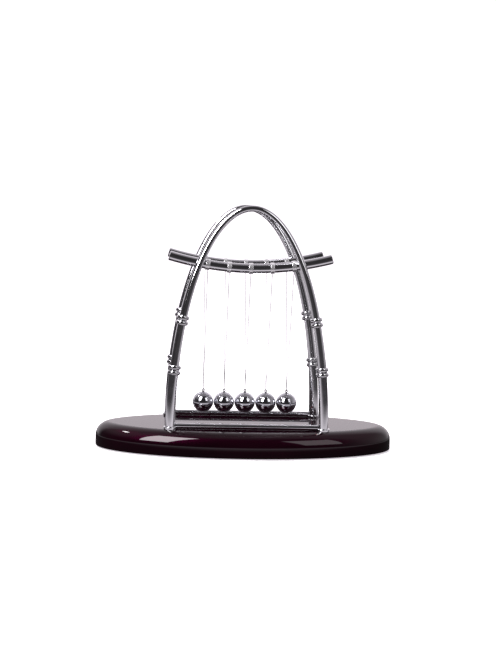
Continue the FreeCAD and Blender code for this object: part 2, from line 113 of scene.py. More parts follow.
def calc(tree, operation, *terms):
    """One Math node; its terms are numbers or sockets."""
    return add(tree, "ShaderNodeMath", dict(enumerate(terms)), operation=operation).outputs[0]


def ramp(tree, value, low, high, bottom=0.0, top=1.0):
    """Smooth step of a value from bottom to top between two limits."""
    names = ("Value", "From Min", "From Max", "To Min", "To Max")
    sockets = dict(zip(names, (value, low, high, bottom, top)))
    step = add(tree, "ShaderNodeMapRange", sockets, interpolation_type="SMOOTHSTEP")
    return step.outputs["Result"]


def blend_values(tree, share, first, second):
    """first where share is 0, second where it is 1."""
    less = calc(tree, "MULTIPLY", calc(tree, "SUBTRACT", 1.0, share), first)
    return calc(tree, "ADD", less, calc(tree, "MULTIPLY", share, second))


def open_group(name, kind, inputs, outputs):
    """Start a node group with named sockets; each input is (name, type, value)."""
    tree = bpy.data.node_groups.new(name, kind)
    for label, socket, value in inputs:
        made = tree.interface.new_socket(label, in_out="INPUT", socket_type=socket)
        if value is not None:
            made.default_value = value
    for label, socket in outputs:
        tree.interface.new_socket(label, in_out="OUTPUT", socket_type=socket)
    return tree, tree.nodes.new("NodeGroupInput").outputs, tree.nodes.new("NodeGroupOutput").inputs


# %% [markdown]
# ## Shared surface effects
#
# Three effects turn up on more than one surface, so each is a node group with named
# inputs. *Hairlines* are the fine wiping marks of polished metal and lacquer.
# *Handling* makes the gloss uneven, as fingers and dust do. *Waviness* is the slight
# orange-peel of plating and of lacquer, which bends long reflections.

# %% Effect groups
FLOAT, VECTOR = "NodeSocketFloat", "NodeSocketVector"


def noise(tree, vector, scale, detail=2.0, roughness=0.5, stretch=None):
    """Noise on a coordinate, optionally stretched along an axis."""
    if stretch:
        vector = add(tree, "ShaderNodeVectorMath", {0: vector, 1: stretch},
                     operation="MULTIPLY").outputs[0]
    sockets = {"Vector": vector, "Scale": scale, "Detail": detail, "Roughness": roughness}
    return add(tree, "ShaderNodeTexNoise", sockets).outputs["Fac"]


hairlines, given, result = open_group(
    "Hairlines", "ShaderNodeTree",
    [("Coordinate", VECTOR, None), ("Fineness", FLOAT, 900.0), ("Amount", FLOAT, 1.0)],
    [("Height", FLOAT)])
along = noise(hairlines, given["Coordinate"], given["Fineness"], stretch=(0.06, 1.0, 1.0))
across = noise(hairlines, given["Coordinate"], given["Fineness"], stretch=(1.0, 1.0, 0.05))
lines = calc(hairlines, "ADD", ramp(hairlines, along, 0.58, 0.72),
             ramp(hairlines, across, 0.60, 0.74))
hairlines.links.new(calc(hairlines, "MULTIPLY", lines, given["Amount"]), result["Height"])

handling, given, result = open_group(
    "Handling", "ShaderNodeTree",
    [("Coordinate", VECTOR, None), ("Clean", FLOAT, 0.05), ("Dull", FLOAT, 0.16),
     ("Patch", FLOAT, 70.0)],
    [("Roughness", FLOAT)])
smear = ramp(handling, noise(handling, given["Coordinate"], given["Patch"], 4.0, 0.6), 0.42, 0.72)
DUST_FINENESS, SMEAR_SHARE = 2600.0, 0.7
specks = ramp(handling, noise(handling, given["Coordinate"], DUST_FINENESS, 1.0), 0.70, 0.78)
touched = calc(handling, "MAXIMUM", calc(handling, "MULTIPLY", smear, SMEAR_SHARE), specks)
handling.links.new(blend_values(handling, touched, given["Clean"], given["Dull"]),
                   result["Roughness"])

waviness, given, result = open_group(
    "Waviness", "ShaderNodeTree",
    [("Coordinate", VECTOR, None), ("Scale", FLOAT, 260.0), ("Amount", FLOAT, 1.0)],
    [("Height", FLOAT)])
swell = noise(waviness, given["Coordinate"], given["Scale"], 1.0)
waviness.links.new(calc(waviness, "MULTIPLY", swell, given["Amount"]), result["Height"])
print("effect groups:", hairlines.name, handling.name, waviness.name)


# %% [markdown]
# ## Materials
#
# Every finish is one Principled shader. A value that is the same all over, such as
# how strong the clear coat is, sits on the shader itself. Only what varies over the
# surface is wired: colour, roughness and a little relief.

# %% Material helper
def finish(name, colours, gloss, relief, uniform, colour_scale=40.0, stretch=None):
    """A material: two colours mottled together, uneven gloss and a fine relief.

    gloss is (clean, dull, patch size); relief is (waviness scale, its height,
    hairline fineness, its height), with heights in metres."""
    material = bpy.data.materials.new(name)
    material.use_nodes = True
    tree = material.node_tree
    shader = tree.nodes["Principled BSDF"]
    spot = add(tree, "ShaderNodeTexCoord").outputs["Object"]
    mottle = noise(tree, spot, colour_scale, 5.0, 0.6, stretch)
    mix = add(tree, "ShaderNodeMix", data_type="RGBA")
    tree.links.new(ramp(tree, mottle, 0.30, 0.70), mix.inputs["Factor"])
    for spot_colour, colour in zip((mix.inputs[6], mix.inputs[7]), colours):
        spot_colour.default_value = (*colour, 1)
    tree.links.new(mix.outputs[2], shader.inputs["Base Color"])
    marks = add(tree, "ShaderNodeGroup", node_tree=handling)
    tree.links.new(spot, marks.inputs["Coordinate"])
    for label, number in zip(("Clean", "Dull", "Patch"), gloss):
        marks.inputs[label].default_value = number
    tree.links.new(marks.outputs["Roughness"], shader.inputs["Roughness"])
    waves = add(tree, "ShaderNodeGroup", node_tree=waviness)
    scratches = add(tree, "ShaderNodeGroup", node_tree=hairlines)
    for node, labels, numbers in ((waves, ("Scale", "Amount"), relief[:2]),
                                  (scratches, ("Fineness", "Amount"), relief[2:])):
        tree.links.new(spot, node.inputs["Coordinate"])
        for label, number in zip(labels, numbers):
            node.inputs[label].default_value = number
    height = calc(tree, "SUBTRACT", waves.outputs["Height"], scratches.outputs["Height"])
    bump = add(tree, "ShaderNodeBump", {"Height": height, "Strength": 1.0, "Distance": 1.0})
    tree.links.new(bump.outputs["Normal"], shader.inputs["Normal"])
    for label, number in uniform.items():
        shader.inputs[label].default_value = number
    return material


# %% [markdown]
# ### Metals, rubber and nylon
#
# The arches and rails are bright plated chrome with a faint ripple, the bands are a
# softer silver, and the balls are ground smoothest of all. The eyes are dark steel,
# the hidden screws dull zinc. Each entry gives two colours that are mottled together,
# the gloss, the relief and the values that are the same all over.

# %% Metals, rubber and nylon
arch_chrome = finish(
    "arch_chrome", colours=((0.74, 0.74, 0.77), (0.82, 0.82, 0.84)), gloss=(0.08, 0.16, 90.0),
    relief=(240.0, 1.5e-6, 1500.0, 1e-7), uniform={"Metallic": 1.0}, colour_scale=60.0)
band_silver = finish(
    "band_silver", colours=((0.80, 0.79, 0.81), (0.90, 0.89, 0.91)), gloss=(0.18, 0.30, 160.0),
    relief=(900.0, 3e-6, 2400.0, 2e-7), uniform={"Metallic": 0.75}, colour_scale=200.0)
ball_steel = finish(
    "ball_steel", colours=((0.58, 0.58, 0.62), (0.66, 0.66, 0.70)), gloss=(0.02, 0.05, 120.0),
    relief=(300.0, 3e-7, 2000.0, 2e-8), uniform={"Metallic": 1.0}, colour_scale=120.0)
eye_steel = finish(
    "eye_steel", colours=((0.10, 0.10, 0.105), (0.18, 0.18, 0.19)), gloss=(0.22, 0.40, 400.0),
    relief=(1200.0, 4e-6, 3000.0, 1e-6), uniform={"Metallic": 1.0}, colour_scale=500.0)
screw_zinc = finish(
    "screw_zinc", colours=((0.52, 0.53, 0.55), (0.66, 0.66, 0.64)), gloss=(0.25, 0.45, 200.0),
    relief=(500.0, 6e-6, 1800.0, 2e-6), uniform={"Metallic": 1.0}, colour_scale=300.0)
pad_rubber = finish(
    "pad_rubber", colours=((0.012, 0.012, 0.013), (0.030, 0.029, 0.030)),
    gloss=(0.55, 0.80, 200.0), relief=(1500.0, 3e-5, 900.0, 4e-6), uniform={"IOR": 1.52},
    colour_scale=400.0)
nylon = finish(
    "nylon", colours=((0.17, 0.165, 0.18), (0.23, 0.225, 0.235)), gloss=(0.35, 0.50, 500.0),
    relief=(800.0, 2e-6, 2000.0, 2e-7), uniform={"Transmission Weight": 0.25, "IOR": 1.45},
    colour_scale=300.0)
print("seven finishes, from", arch_chrome.name, "to", nylon.name)

# %% [markdown]
# ### The lacquer
#
# The board is sprayed like a car: a dark ground, a translucent cherry coat with very
# fine metallic flake, and a hard clear coat polished flat. The flake gives the deep
# red glow round each highlight, so the ground layer is partly metallic and fairly
# rough, and the clear coat on top is almost a mirror.

# %% Lacquer
cherry_lacquer = finish(
    "cherry_lacquer", colours=((0.010, 0.0001, 0.0036), (0.018, 0.0002, 0.0064)),
    gloss=(0.28, 0.36, 55.0), relief=(420.0, 2.0e-6, 1100.0, 3e-7),
    uniform={"Metallic": 0.6, "Specular IOR Level": 0.0, "Specular Tint": (0.25, 0.02, 0.06, 1.0),
             "Coat Weight": 1.0, "Coat Roughness": 0.015, "Coat IOR": 1.45},
    colour_scale=34.0, stretch=(0.25, 1.0, 1.0))
print("lacquer:", cherry_lacquer.name)


# %% [markdown]
# ## Mesh helpers
#
# Turned parts are drawn as half a section and spun. The section is closed, so the
# mesh is a closed skin, and faces are made to point outwards. Smooth shading stops
# at real edges.

# %% Mesh helpers
SAME_SPOT, ON_AXIS = 1e-7, 1e-9
SHARP_EDGE, SHARP_RIM = 35.0, 30.0


def keep(name, mesh, material=None, sharp=SHARP_EDGE):
    """Put a mesh into the scene as a piece with smooth shading and crisp edges."""
    skin = bmesh.new()
    skin.from_mesh(mesh)
    bmesh.ops.remove_doubles(skin, verts=skin.verts, dist=SAME_SPOT)
    bmesh.ops.recalc_face_normals(skin, faces=skin.faces)
    skin.to_mesh(mesh)
    skin.free()
    mesh.shade_smooth()
    mesh.set_sharp_from_angle(angle=math.radians(sharp))
    if material:
        mesh.materials.clear()
        mesh.materials.append(material)
    piece = bpy.data.objects.new(name, mesh)
    bpy.context.scene.collection.objects.link(piece)
    return piece


def mesh_of_rings(name, rings, closed_tube=False):
    """A skin through rings of points; a ring of one point is a pole."""
    skin = bmesh.new()
    rows = [[skin.verts.new(point) for point in ring] for ring in rings]
    pairs = list(zip(rows, rows[1:])) + ([(rows[-1], rows[0])] if closed_tube else [])
    for low, high in pairs:
        count = max(len(low), len(high))
        for i in range(count):
            corners = [low[i % len(low)], low[(i + 1) % len(low)],
                       high[(i + 1) % len(high)], high[i % len(high)]]
            skin.faces.new(list(dict.fromkeys(corners)))
    mesh = bpy.data.meshes.new(name)
    skin.to_mesh(mesh)
    skin.free()
    return mesh


def turned(name, section, segments=96, closed=False):
    """Spin a section of (radius, height) points about Z."""
    rings = []
    for radius, height in section:
        if radius < ON_AXIS:
            rings.append([(0.0, 0.0, height)])
            continue
        turns = [math.tau * i / segments for i in range(segments)]
        rings.append([(radius * math.cos(a), radius * math.sin(a), height) for a in turns])
    return mesh_of_rings(name, rings, closed)


def arc(centre, radius, start, stop, steps):
    """Points of an arc in the section plane, angles in degrees."""
    angles = [math.radians(start + (stop - start) * i / steps) for i in range(steps + 1)]
    return [(centre[0] + radius * math.cos(a), centre[1] + radius * math.sin(a)) for a in angles]


def cut_away(piece, cutters):
    """Subtract closed meshes from a piece for good, and throw the cutters away."""
    for cutter in cutters:
        trim = piece.modifiers.new("Cut", "BOOLEAN")
        trim.operation, trim.solver, trim.object = "DIFFERENCE", "EXACT", cutter
    cut = piece.evaluated_get(bpy.context.evaluated_depsgraph_get())
    solid = bpy.data.meshes.new_from_object(cut)
    piece.modifiers.clear()
    piece.data = solid
    solid.shade_smooth()
    solid.set_sharp_from_angle(angle=math.radians(SHARP_EDGE))
    for cutter in cutters:
        bpy.data.objects.remove(cutter)


# %% [markdown]
# ## The oval board
#
# The outline is an ellipse, and its top edge is a full round. Each level of the round
# is the ellipse moved inwards along its own normal by the same distance everywhere,
# which keeps the round's radius true at the narrow ends. Scaling the ellipse instead
# would pinch it there.

# %% Board
TOP_ROUND, LOWER_ROUND = 11.0 * MM, 0.8 * MM
HALF_LENGTH, HALF_DEPTH = board_high.x, board_high.y


def oval_ring(inset, height, share=1.0, segments=360):
    """The outline moved inwards, then shrunk to a share of itself for the flats."""
    points = []
    for i in range(segments):
        angle = math.tau * i / segments
        across, back = math.cos(angle) / HALF_LENGTH, math.sin(angle) / HALF_DEPTH
        size = math.hypot(across, back)
        x = HALF_LENGTH * math.cos(angle) - inset * across / size
        y = HALF_DEPTH * math.sin(angle) - inset * back / size
        points.append((share * x, share * y, height))
    return points


lower_edge = arc((0.0, board_low.z + LOWER_ROUND), LOWER_ROUND, -90, 0, 6)
upper_edge = arc((0.0, board_high.z - TOP_ROUND), TOP_ROUND, 0, 90, 30)
FLAT_SHARES = (0.995, 0.97, 0.9, 0.75, 0.5, 0.25)
board_rings = [[(0.0, 0.0, board_low.z)]]
board_rings += [oval_ring(LOWER_ROUND, board_low.z, share) for share in reversed(FLAT_SHARES)]
board_rings += [oval_ring(LOWER_ROUND - x, z) for x, z in lower_edge]
board_rings += [oval_ring(TOP_ROUND - x, z) for x, z in upper_edge]
board_rings += [oval_ring(TOP_ROUND, board_high.z, share) for share in FLAT_SHARES]
board_rings += [[(0.0, 0.0, board_high.z)]]
board = keep("board", mesh_of_rings("board", board_rings), cherry_lacquer)

PAD_RECESS, PAD_DEPTH = 6.625 * MM, 1.5 * MM
COUNTERBORE, COUNTERBORE_DEPTH = 5.0 * MM, 6.0 * MM
BELOW_BOARD = -5 * MM


def plug(name, centre, radius, depth):
    """A closed drum that cuts a round recess into the board's underside."""
    low, high = BELOW_BOARD, board_low.z + depth
    drum = turned(name, [(0, low), (radius, low), (radius, high), (0, high)], 64)
    drum.transform(Matrix.Translation((centre[0], centre[1], 0)))
    return keep(name, drum)


recesses = []
for face in FACES:
    for side in SIDES:
        low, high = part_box(f"{face}_{side}_pad")
        recesses.append(plug("pad_recess", (low + high) / 2, PAD_RECESS, PAD_DEPTH))
        leg = (SIDES[side] * ARCH_HALF_WIDTH, FACES[face] * ARCH_ROW)
        recesses.append(plug("screw_recess", leg, COUNTERBORE, COUNTERBORE_DEPTH))
cut_away(board, recesses)
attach(board, "stand")
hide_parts("base")
print("board:", len(board.data.polygons), "faces")

# %% [markdown]
# ## Geometry Nodes for what follows a rule
#
# The arches, the rails and the strings are all rods along a curve, and the collars,
# the foot rings and the bands are all one ring repeated. A tree describes such a rule
# once, with its sizes as named inputs. The helper below runs a tree on an empty
# object, copies the result as a plain mesh and takes the modifier off again.

# %% Running a tree
GEOMETRY, OBJECT, MATERIAL, WHOLE = ("NodeSocketGeometry", "NodeSocketObject",
                                     "NodeSocketMaterial", "NodeSocketInt")


def grow(name, tree, sharp=SHARP_EDGE, **sizes):
    """Run a tree with these inputs and keep its result as a plain piece."""
    seed = bpy.data.objects.new(name, bpy.data.meshes.new(name))
    bpy.context.scene.collection.objects.link(seed)
    modifier = seed.modifiers.new("Grow", "NODES")
    modifier.node_group = tree
    for item in tree.interface.items_tree:
        if item.item_type == "SOCKET" and item.in_out == "INPUT":
            key = item.name.lower().replace(" ", "_")
            if key in sizes:
                modifier[item.identifier] = sizes[key]
    bpy.context.view_layer.update()
    made = seed.evaluated_get(bpy.context.evaluated_depsgraph_get())
    mesh = bpy.data.meshes.new_from_object(made)
    bpy.data.objects.remove(seed)
    piece = keep(name, mesh, sharp=sharp)
    print(f"{name}: {len(mesh.polygons)} faces")
    return piece


def close_tree(tree, geometry, material, result):
    """End a tree: real geometry, and one material on it."""
    real = add(tree, "GeometryNodeRealizeInstances", {"Geometry": geometry})
    painted = add(tree, "GeometryNodeSetMaterial", {
        "Geometry": real.outputs[0], "Material": material})
    tree.links.new(painted.outputs[0], result["Geometry"])


ROD_SIDES = 64


def rod_along(tree, count, position, radius, sides=ROD_SIDES):
    """A capped rod through count points, placed by a formula of the point's number."""
    points = add(tree, "GeometryNodeMeshLine", {"Count": count})
    curve = add(tree, "GeometryNodeMeshToCurve", {"Mesh": points.outputs[0]})
    bent = add(tree, "GeometryNodeSetPosition", {
        "Geometry": curve.outputs[0], "Position": position})
    round_section = add(tree, "GeometryNodeCurvePrimitiveCircle", {
        "Resolution": sides, "Radius": 1.0})
    rod = add(tree, "GeometryNodeCurveToMesh", {
        "Curve": bent.outputs[0], "Profile Curve": round_section.outputs["Curve"],
        "Scale": radius, "Fill Caps": True})
    return rod.outputs["Mesh"]


def share_of(tree, count):
    """Each point's number as a share of the whole line, 0 to 1."""
    return calc(tree, "DIVIDE", add(tree, "GeometryNodeInputIndex").outputs[0],
                calc(tree, "SUBTRACT", count, 1.0))


def spot_at(tree, x=0.0, y=0.0, z=0.0):
    """Three numbers or sockets as one position."""
    return add(tree, "ShaderNodeCombineXYZ", {"X": x, "Y": y, "Z": z}).outputs[0]


# %% [markdown]
# ## The arches
#
# Each arch is one rod, thick at its feet and thin at its apex, bent to half an
# ellipse. The tree walks round the half ellipse by angle and lets the radius follow
# the sine of the same angle, so the taper is smooth and the two legs match.

# %% Arches
arch_tree, given, result = open_group(
    "Tapered arch", "GeometryNodeTree",
    [("Half Width", FLOAT, 0.058), ("Rise", FLOAT, 0.167), ("Row", FLOAT, 0.031),
     ("Floor", FLOAT, 0.019), ("Foot Radius", FLOAT, 0.004), ("Apex Radius", FLOAT, 0.002),
     ("Points", WHOLE, 241), ("Finish", MATERIAL, None)],
    [("Geometry", GEOMETRY)])
angle = calc(arch_tree, "MULTIPLY", share_of(arch_tree, given["Points"]), math.pi)
sine, cosine = calc(arch_tree, "SINE", angle), calc(arch_tree, "COSINE", angle)
place = spot_at(arch_tree, calc(arch_tree, "MULTIPLY", cosine, given["Half Width"]), given["Row"],
                calc(arch_tree, "MULTIPLY_ADD", sine, given["Rise"], given["Floor"]))
slimming = calc(arch_tree, "SUBTRACT", given["Foot Radius"], given["Apex Radius"])
taper = calc(arch_tree, "SUBTRACT", given["Foot Radius"],
             calc(arch_tree, "MULTIPLY", sine, slimming))
close_tree(arch_tree, rod_along(arch_tree, given["Points"], place, taper), given["Finish"], result)

ARCH_POINTS = 241
arch_sizes = dict(half_width=ARCH_HALF_WIDTH, rise=ARCH_RISE, floor=board_high.z,
                  points=ARCH_POINTS)
for face, sign in FACES.items():
    arch = grow(f"{face}_arch_rod", arch_tree, row=sign * ARCH_ROW, foot_radius=FOOT_RADIUS,
                apex_radius=APEX_RADIUS, finish=arch_chrome, **arch_sizes)
    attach(arch, "stand")
    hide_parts(f"{face}_arch")

# %% [markdown]
# ## The rails
#
# A rail is a round bar on a wide arc with a small chamfer on each square-cut end. Its
# outer side is notched where the arch rod sits in it. The notch is cut with a copy of
# the arch that is a hair thicker, so bar and rod never share a surface.

# %% Rails
rail_tree, given, result = open_group(
    "Bent rail", "GeometryNodeTree",
    [("Half Length", FLOAT, 0.061), ("Bend", FLOAT, 0.227), ("Row", FLOAT, 0.027),
     ("Height", FLOAT, 0.141), ("Radius", FLOAT, 0.0036), ("Chamfer", FLOAT, 0.0004),
     ("Points", WHOLE, 301), ("Finish", MATERIAL, None)],
    [("Geometry", GEOMETRY)])
reach = calc(rail_tree, "ARCSINE", calc(rail_tree, "DIVIDE", given["Half Length"], given["Bend"]))
swing = calc(rail_tree, "MULTIPLY", reach, calc(
    rail_tree, "MULTIPLY_ADD", share_of(rail_tree, given["Points"]), 2.0, -1.0))
climb = calc(rail_tree, "SUBTRACT", 1.0, calc(rail_tree, "COSINE", swing))
along_bar = calc(rail_tree, "MULTIPLY", given["Bend"], calc(rail_tree, "SINE", swing))
place = spot_at(rail_tree, along_bar, given["Row"],
                calc(rail_tree, "MULTIPLY_ADD", given["Bend"], climb, given["Height"]))
AT_END = 1e-5
from_end = calc(rail_tree, "SUBTRACT", reach, calc(rail_tree, "ABSOLUTE", swing))
is_end = calc(rail_tree, "LESS_THAN", from_end, AT_END)
thickness = calc(rail_tree, "SUBTRACT", given["Radius"],
                 calc(rail_tree, "MULTIPLY", is_end, given["Chamfer"]))
close_tree(rail_tree, rod_along(rail_tree, given["Points"], place, thickness),
           given["Finish"], result)

RAIL_HALF_LENGTH, RAIL_POINTS = 61.15 * MM, 301
for face, sign in FACES.items():
    rail = grow(f"{face}_rail_bar", rail_tree, half_length=RAIL_HALF_LENGTH, bend=RAIL_BEND,
                row=sign * RAIL_ROW, height=RAIL_HEIGHT, radius=RAIL_RADIUS, chamfer=RAIL_CHAMFER,
                points=RAIL_POINTS, finish=arch_chrome)
    seat = grow("rail_seat", arch_tree, row=sign * ARCH_ROW,
                foot_radius=FOOT_RADIUS + RAIL_SEAT_GAP, apex_radius=APEX_RADIUS + RAIL_SEAT_GAP,
                finish=arch_chrome, **arch_sizes)
    cut_away(rail, [seat])
    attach(rail, "stand")
    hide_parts(f"{face}_rail")

# %% [markdown]
# ## Collars and foot rings
#
# Each leg wears two collars like the knots of bamboo: two round beads with a narrow
# groove between them. A low ring hides the joint between leg and board. One ring is
# turned, and a tree sets four copies of it on the legs, leaning as the arch
# leans at that height. The same tree with height nought sets the foot rings upright.

# %% Rings on the legs
leg_tree, given, result = open_group(
    "Ring on four legs", "GeometryNodeTree",
    [("Ring", OBJECT, None), ("Half Width", FLOAT, 0.058), ("Rise", FLOAT, 0.167),
     ("Row", FLOAT, 0.031), ("Floor", FLOAT, 0.019), ("Height", FLOAT, 0.05),
     ("Finish", MATERIAL, None)],
    [("Geometry", GEOMETRY)])
number = add(leg_tree, "GeometryNodeInputIndex").outputs[0]
left_right = calc(leg_tree, "MULTIPLY_ADD", calc(leg_tree, "MODULO", number, 2.0), 2.0, -1.0)
is_rear = calc(leg_tree, "GREATER_THAN", number, 1.5)
front_rear = calc(leg_tree, "MULTIPLY_ADD", is_rear, 2.0, -1.0)
level = calc(leg_tree, "DIVIDE", given["Height"], given["Rise"])
level_squared = calc(leg_tree, "MULTIPLY", level, level)
narrowing = calc(leg_tree, "SQRT", calc(leg_tree, "SUBTRACT", 1.0, level_squared))
place = spot_at(leg_tree, calc(leg_tree, "MULTIPLY", left_right, calc(
                    leg_tree, "MULTIPLY", given["Half Width"], narrowing)),
                calc(leg_tree, "MULTIPLY", front_rear, given["Row"]),
                calc(leg_tree, "ADD", given["Floor"], given["Height"]))
slope = calc(leg_tree, "DIVIDE", calc(leg_tree, "MULTIPLY", given["Half Width"], level),
             calc(leg_tree, "MULTIPLY", given["Rise"], narrowing))
lean = calc(leg_tree, "MULTIPLY", calc(leg_tree, "ARCTANGENT", slope), calc(
    leg_tree, "MULTIPLY", left_right, -1.0))
corners = add(leg_tree, "GeometryNodeMeshLine", {"Count": 4})
spots = add(leg_tree, "GeometryNodeSetPosition", {
    "Geometry": corners.outputs[0], "Position": place})
ring_shape = add(leg_tree, "GeometryNodeObjectInfo", {"Object": given["Ring"]}).outputs["Geometry"]
tilt = add(leg_tree, "FunctionNodeEulerToRotation", {
    "Euler": spot_at(leg_tree, y=lean)}).outputs[0]
copies = add(leg_tree, "GeometryNodeInstanceOnPoints", {
    "Points": spots.outputs[0], "Instance": ring_shape, "Rotation": tilt})
close_tree(leg_tree, copies.outputs[0], given["Finish"], result)


def rings_on_legs(name, section, height, nodes, material):
    """Turn one ring and set it on the four legs; it stands for these CAD nodes."""
    pattern = keep(name + "_pattern", turned(name, section, 80, closed=True))
    piece = grow(name, leg_tree, SHARP_RIM, ring=pattern, half_width=ARCH_HALF_WIDTH,
                 rise=ARCH_RISE, row=ARCH_ROW, floor=board_high.z, height=height, finish=material)
    bpy.data.objects.remove(pattern)
    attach(piece, "stand")
    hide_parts(*nodes)


HALF_COLLAR, HALF_GROOVE, BEAD_PROUD = 3.6 * MM, 0.45 * MM, 1.5 * MM
GROOVE_FLOOR, END_LIP, COLLAR_GAP = 0.3 * MM, 0.12 * MM, 0.07 * MM
BEAD_STEPS, BEAD_FULLNESS = 18, 0.72


def collar_section(rod):
    """Two round beads with a groove between them, on a rod of this radius."""
    width = (HALF_COLLAR - HALF_GROOVE) / 2
    section = [(rod + COLLAR_GAP, -HALF_COLLAR)]
    for middle in (width - HALF_COLLAR, HALF_COLLAR - width):
        for i in range(BEAD_STEPS + 1):
            turn = math.pi - math.pi * i / BEAD_STEPS
            crown = abs(math.sin(turn)) ** BEAD_FULLNESS
            along = math.copysign(abs(math.cos(turn)) ** BEAD_FULLNESS, math.cos(turn))
            base = GROOVE_FLOOR if (along > 0) == (middle < 0) else END_LIP
            section.append((rod + base + (BEAD_PROUD - base) * crown, middle + width * along))
    section.append((rod + COLLAR_GAP, HALF_COLLAR))
    return section


for level_name in ("upper", "lower"):
    low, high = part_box(f"front_left_{level_name}_collar")
    climbed = (low.z + high.z) / 2 - board_high.z
    rod = FOOT_RADIUS - (FOOT_RADIUS - APEX_RADIUS) * climbed / ARCH_RISE
    nodes = [f"{face}_{side}_{level_name}_collar" for face in FACES for side in SIDES]
    rings_on_legs(f"{level_name}_collars", collar_section(rod), climbed, nodes,
                  arch_chrome)

RING_HEIGHT, RING_RIM, RING_ROUND = 2.0 * MM, FOOT_RADIUS + 1.1 * MM, 0.7 * MM
bore = FOOT_RADIUS + 0.05 * MM
foot_section = [(bore, 0.0), (RING_RIM, 0.0)]
foot_section += arc((RING_RIM - RING_ROUND, RING_HEIGHT - RING_ROUND), RING_ROUND, 0, 90, 10)
foot_section += [(bore, RING_HEIGHT)]
rings_on_legs("foot_rings", foot_section, 0.0,
              [f"{face}_{side}_foot_ring" for face in FACES for side in SIDES],
              arch_chrome)

# %% [markdown]
# ## The bands
#
# Ten flat bands sit on the rails, one at each end of each string. They are square to
# the rail's arc, so each is turned a little about the row's own direction. The tree
# counts the bands off and works out both their places and their lean.

# %% Bands
band_tree, given, result = open_group(
    "Bands on the rails", "GeometryNodeTree",
    [("Ring", OBJECT, None), ("Pitch", FLOAT, 0.0162), ("Bend", FLOAT, 0.227),
     ("Row", FLOAT, 0.0275), ("Height", FLOAT, 0.141), ("Finish", MATERIAL, None)],
    [("Geometry", GEOMETRY)])
number = add(band_tree, "GeometryNodeInputIndex").outputs[0]
step = calc(band_tree, "SUBTRACT", calc(band_tree, "MODULO", number, 5.0), 2.0)
is_rear = calc(band_tree, "GREATER_THAN", number, 4.5)
front_rear = calc(band_tree, "MULTIPLY_ADD", is_rear, 2.0, -1.0)
x = calc(band_tree, "MULTIPLY", step, given["Pitch"])
turn = calc(band_tree, "ARCSINE", calc(band_tree, "DIVIDE", x, given["Bend"]))
climb = calc(band_tree, "SUBTRACT", 1.0, calc(band_tree, "COSINE", turn))
place = spot_at(band_tree, x, calc(band_tree, "MULTIPLY", front_rear, given["Row"]),
                calc(band_tree, "MULTIPLY_ADD", given["Bend"], climb, given["Height"]))
tilt = add(band_tree, "FunctionNodeEulerToRotation", {
    "Euler": spot_at(band_tree, y=calc(band_tree, "MULTIPLY", turn, -1.0))}).outputs[0]
row_points = add(band_tree, "GeometryNodeMeshLine", {"Count": 10})
spots = add(band_tree, "GeometryNodeSetPosition", {
    "Geometry": row_points.outputs[0], "Position": place})
band_shape = add(band_tree, "GeometryNodeObjectInfo", {
    "Object": given["Ring"]}).outputs["Geometry"]
copies = add(band_tree, "GeometryNodeInstanceOnPoints", {
    "Points": spots.outputs[0], "Instance": band_shape, "Rotation": tilt})
close_tree(band_tree, copies.outputs[0], given["Finish"], result)

HALF_BAND, BAND_RIM, BAND_ROUND = 1.6 * MM, RAIL_RADIUS + 0.6 * MM, 0.4 * MM
bore = RAIL_RADIUS + 0.05 * MM
band_section = [(bore, -HALF_BAND)]
band_section += arc((BAND_RIM - BAND_ROUND, -HALF_BAND + BAND_ROUND), BAND_ROUND, -90, 0, 8)
band_section += arc((BAND_RIM - BAND_ROUND, HALF_BAND - BAND_ROUND), BAND_ROUND, 0, 90, 8)
band_section += [(bore, HALF_BAND)]
band_mesh = turned("band", band_section, 72, closed=True)
band_mesh.transform(Matrix.Rotation(math.radians(90), 4, "Y"))
band_pattern = keep("band_pattern", band_mesh)
bands = grow("string_bands", band_tree, SHARP_RIM, ring=band_pattern, pitch=BALL_PITCH,
             bend=RAIL_BEND, row=RAIL_ROW, height=RAIL_HEIGHT, finish=band_silver)
bpy.data.objects.remove(band_pattern)
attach(bands, "stand")
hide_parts(*[f"{face}_band_{k}" for face in FACES for k in BALLS])

# %% [markdown]
# ## The lower bars
#
# A round bar lies on the board between the feet of each arch. Its ends are hollowed to
# fit the legs: every line of the bar stops where it meets the leg, and lower down
# where it meets the foot ring. That is a short formula, so the bar is made ring by
# ring with the last ring bent to the leg.

# %% Lower bars
BAR_RADIUS, BAR_GAP = 2.2 * MM, 0.05 * MM


def bar_end(y, z, row):
    """How far along X the bar's skin runs at this place on its section."""
    reach = (RING_RIM if z < board_high.z + RING_HEIGHT else FOOT_RADIUS) + BAR_GAP
    return ARCH_HALF_WIDTH - math.sqrt(reach ** 2 - (y - row) ** 2)


for face, sign in FACES.items():
    row, height = sign * ARCH_ROW, board_high.z + BAR_RADIUS + BAR_GAP
    section = [(row + BAR_RADIUS * math.cos(a), height + BAR_RADIUS * math.sin(a))
               for a in (math.tau * i / 96 for i in range(96))]
    shares = (-1.0, -0.9, -0.6, -0.3, 0.0, 0.3, 0.6, 0.9, 1.0)
    rings = [[(share * bar_end(y, z, row), y, z) for y, z in section] for share in shares]
    tip = ARCH_HALF_WIDTH - FOOT_RADIUS - BAR_GAP
    rings = [[(-tip, row, height)]] + rings + [[(tip, row, height)]]
    bar = keep(f"{face}_floor_bar", mesh_of_rings("bar", rings), arch_chrome)
    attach(bar, "stand")
    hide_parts(f"{face}_lower_bar")
print("lower bars reach", round(tip, 4), "each way")

# %% [markdown]
# ## The balls and their eyes
#
# A ball is turned from one section: round from pole to pole, with a drilled and
# lightly countersunk hole in its top. A short stem stands in the hole and carries a
# wire eye. Ball, eye and string swing together, so they share a body.

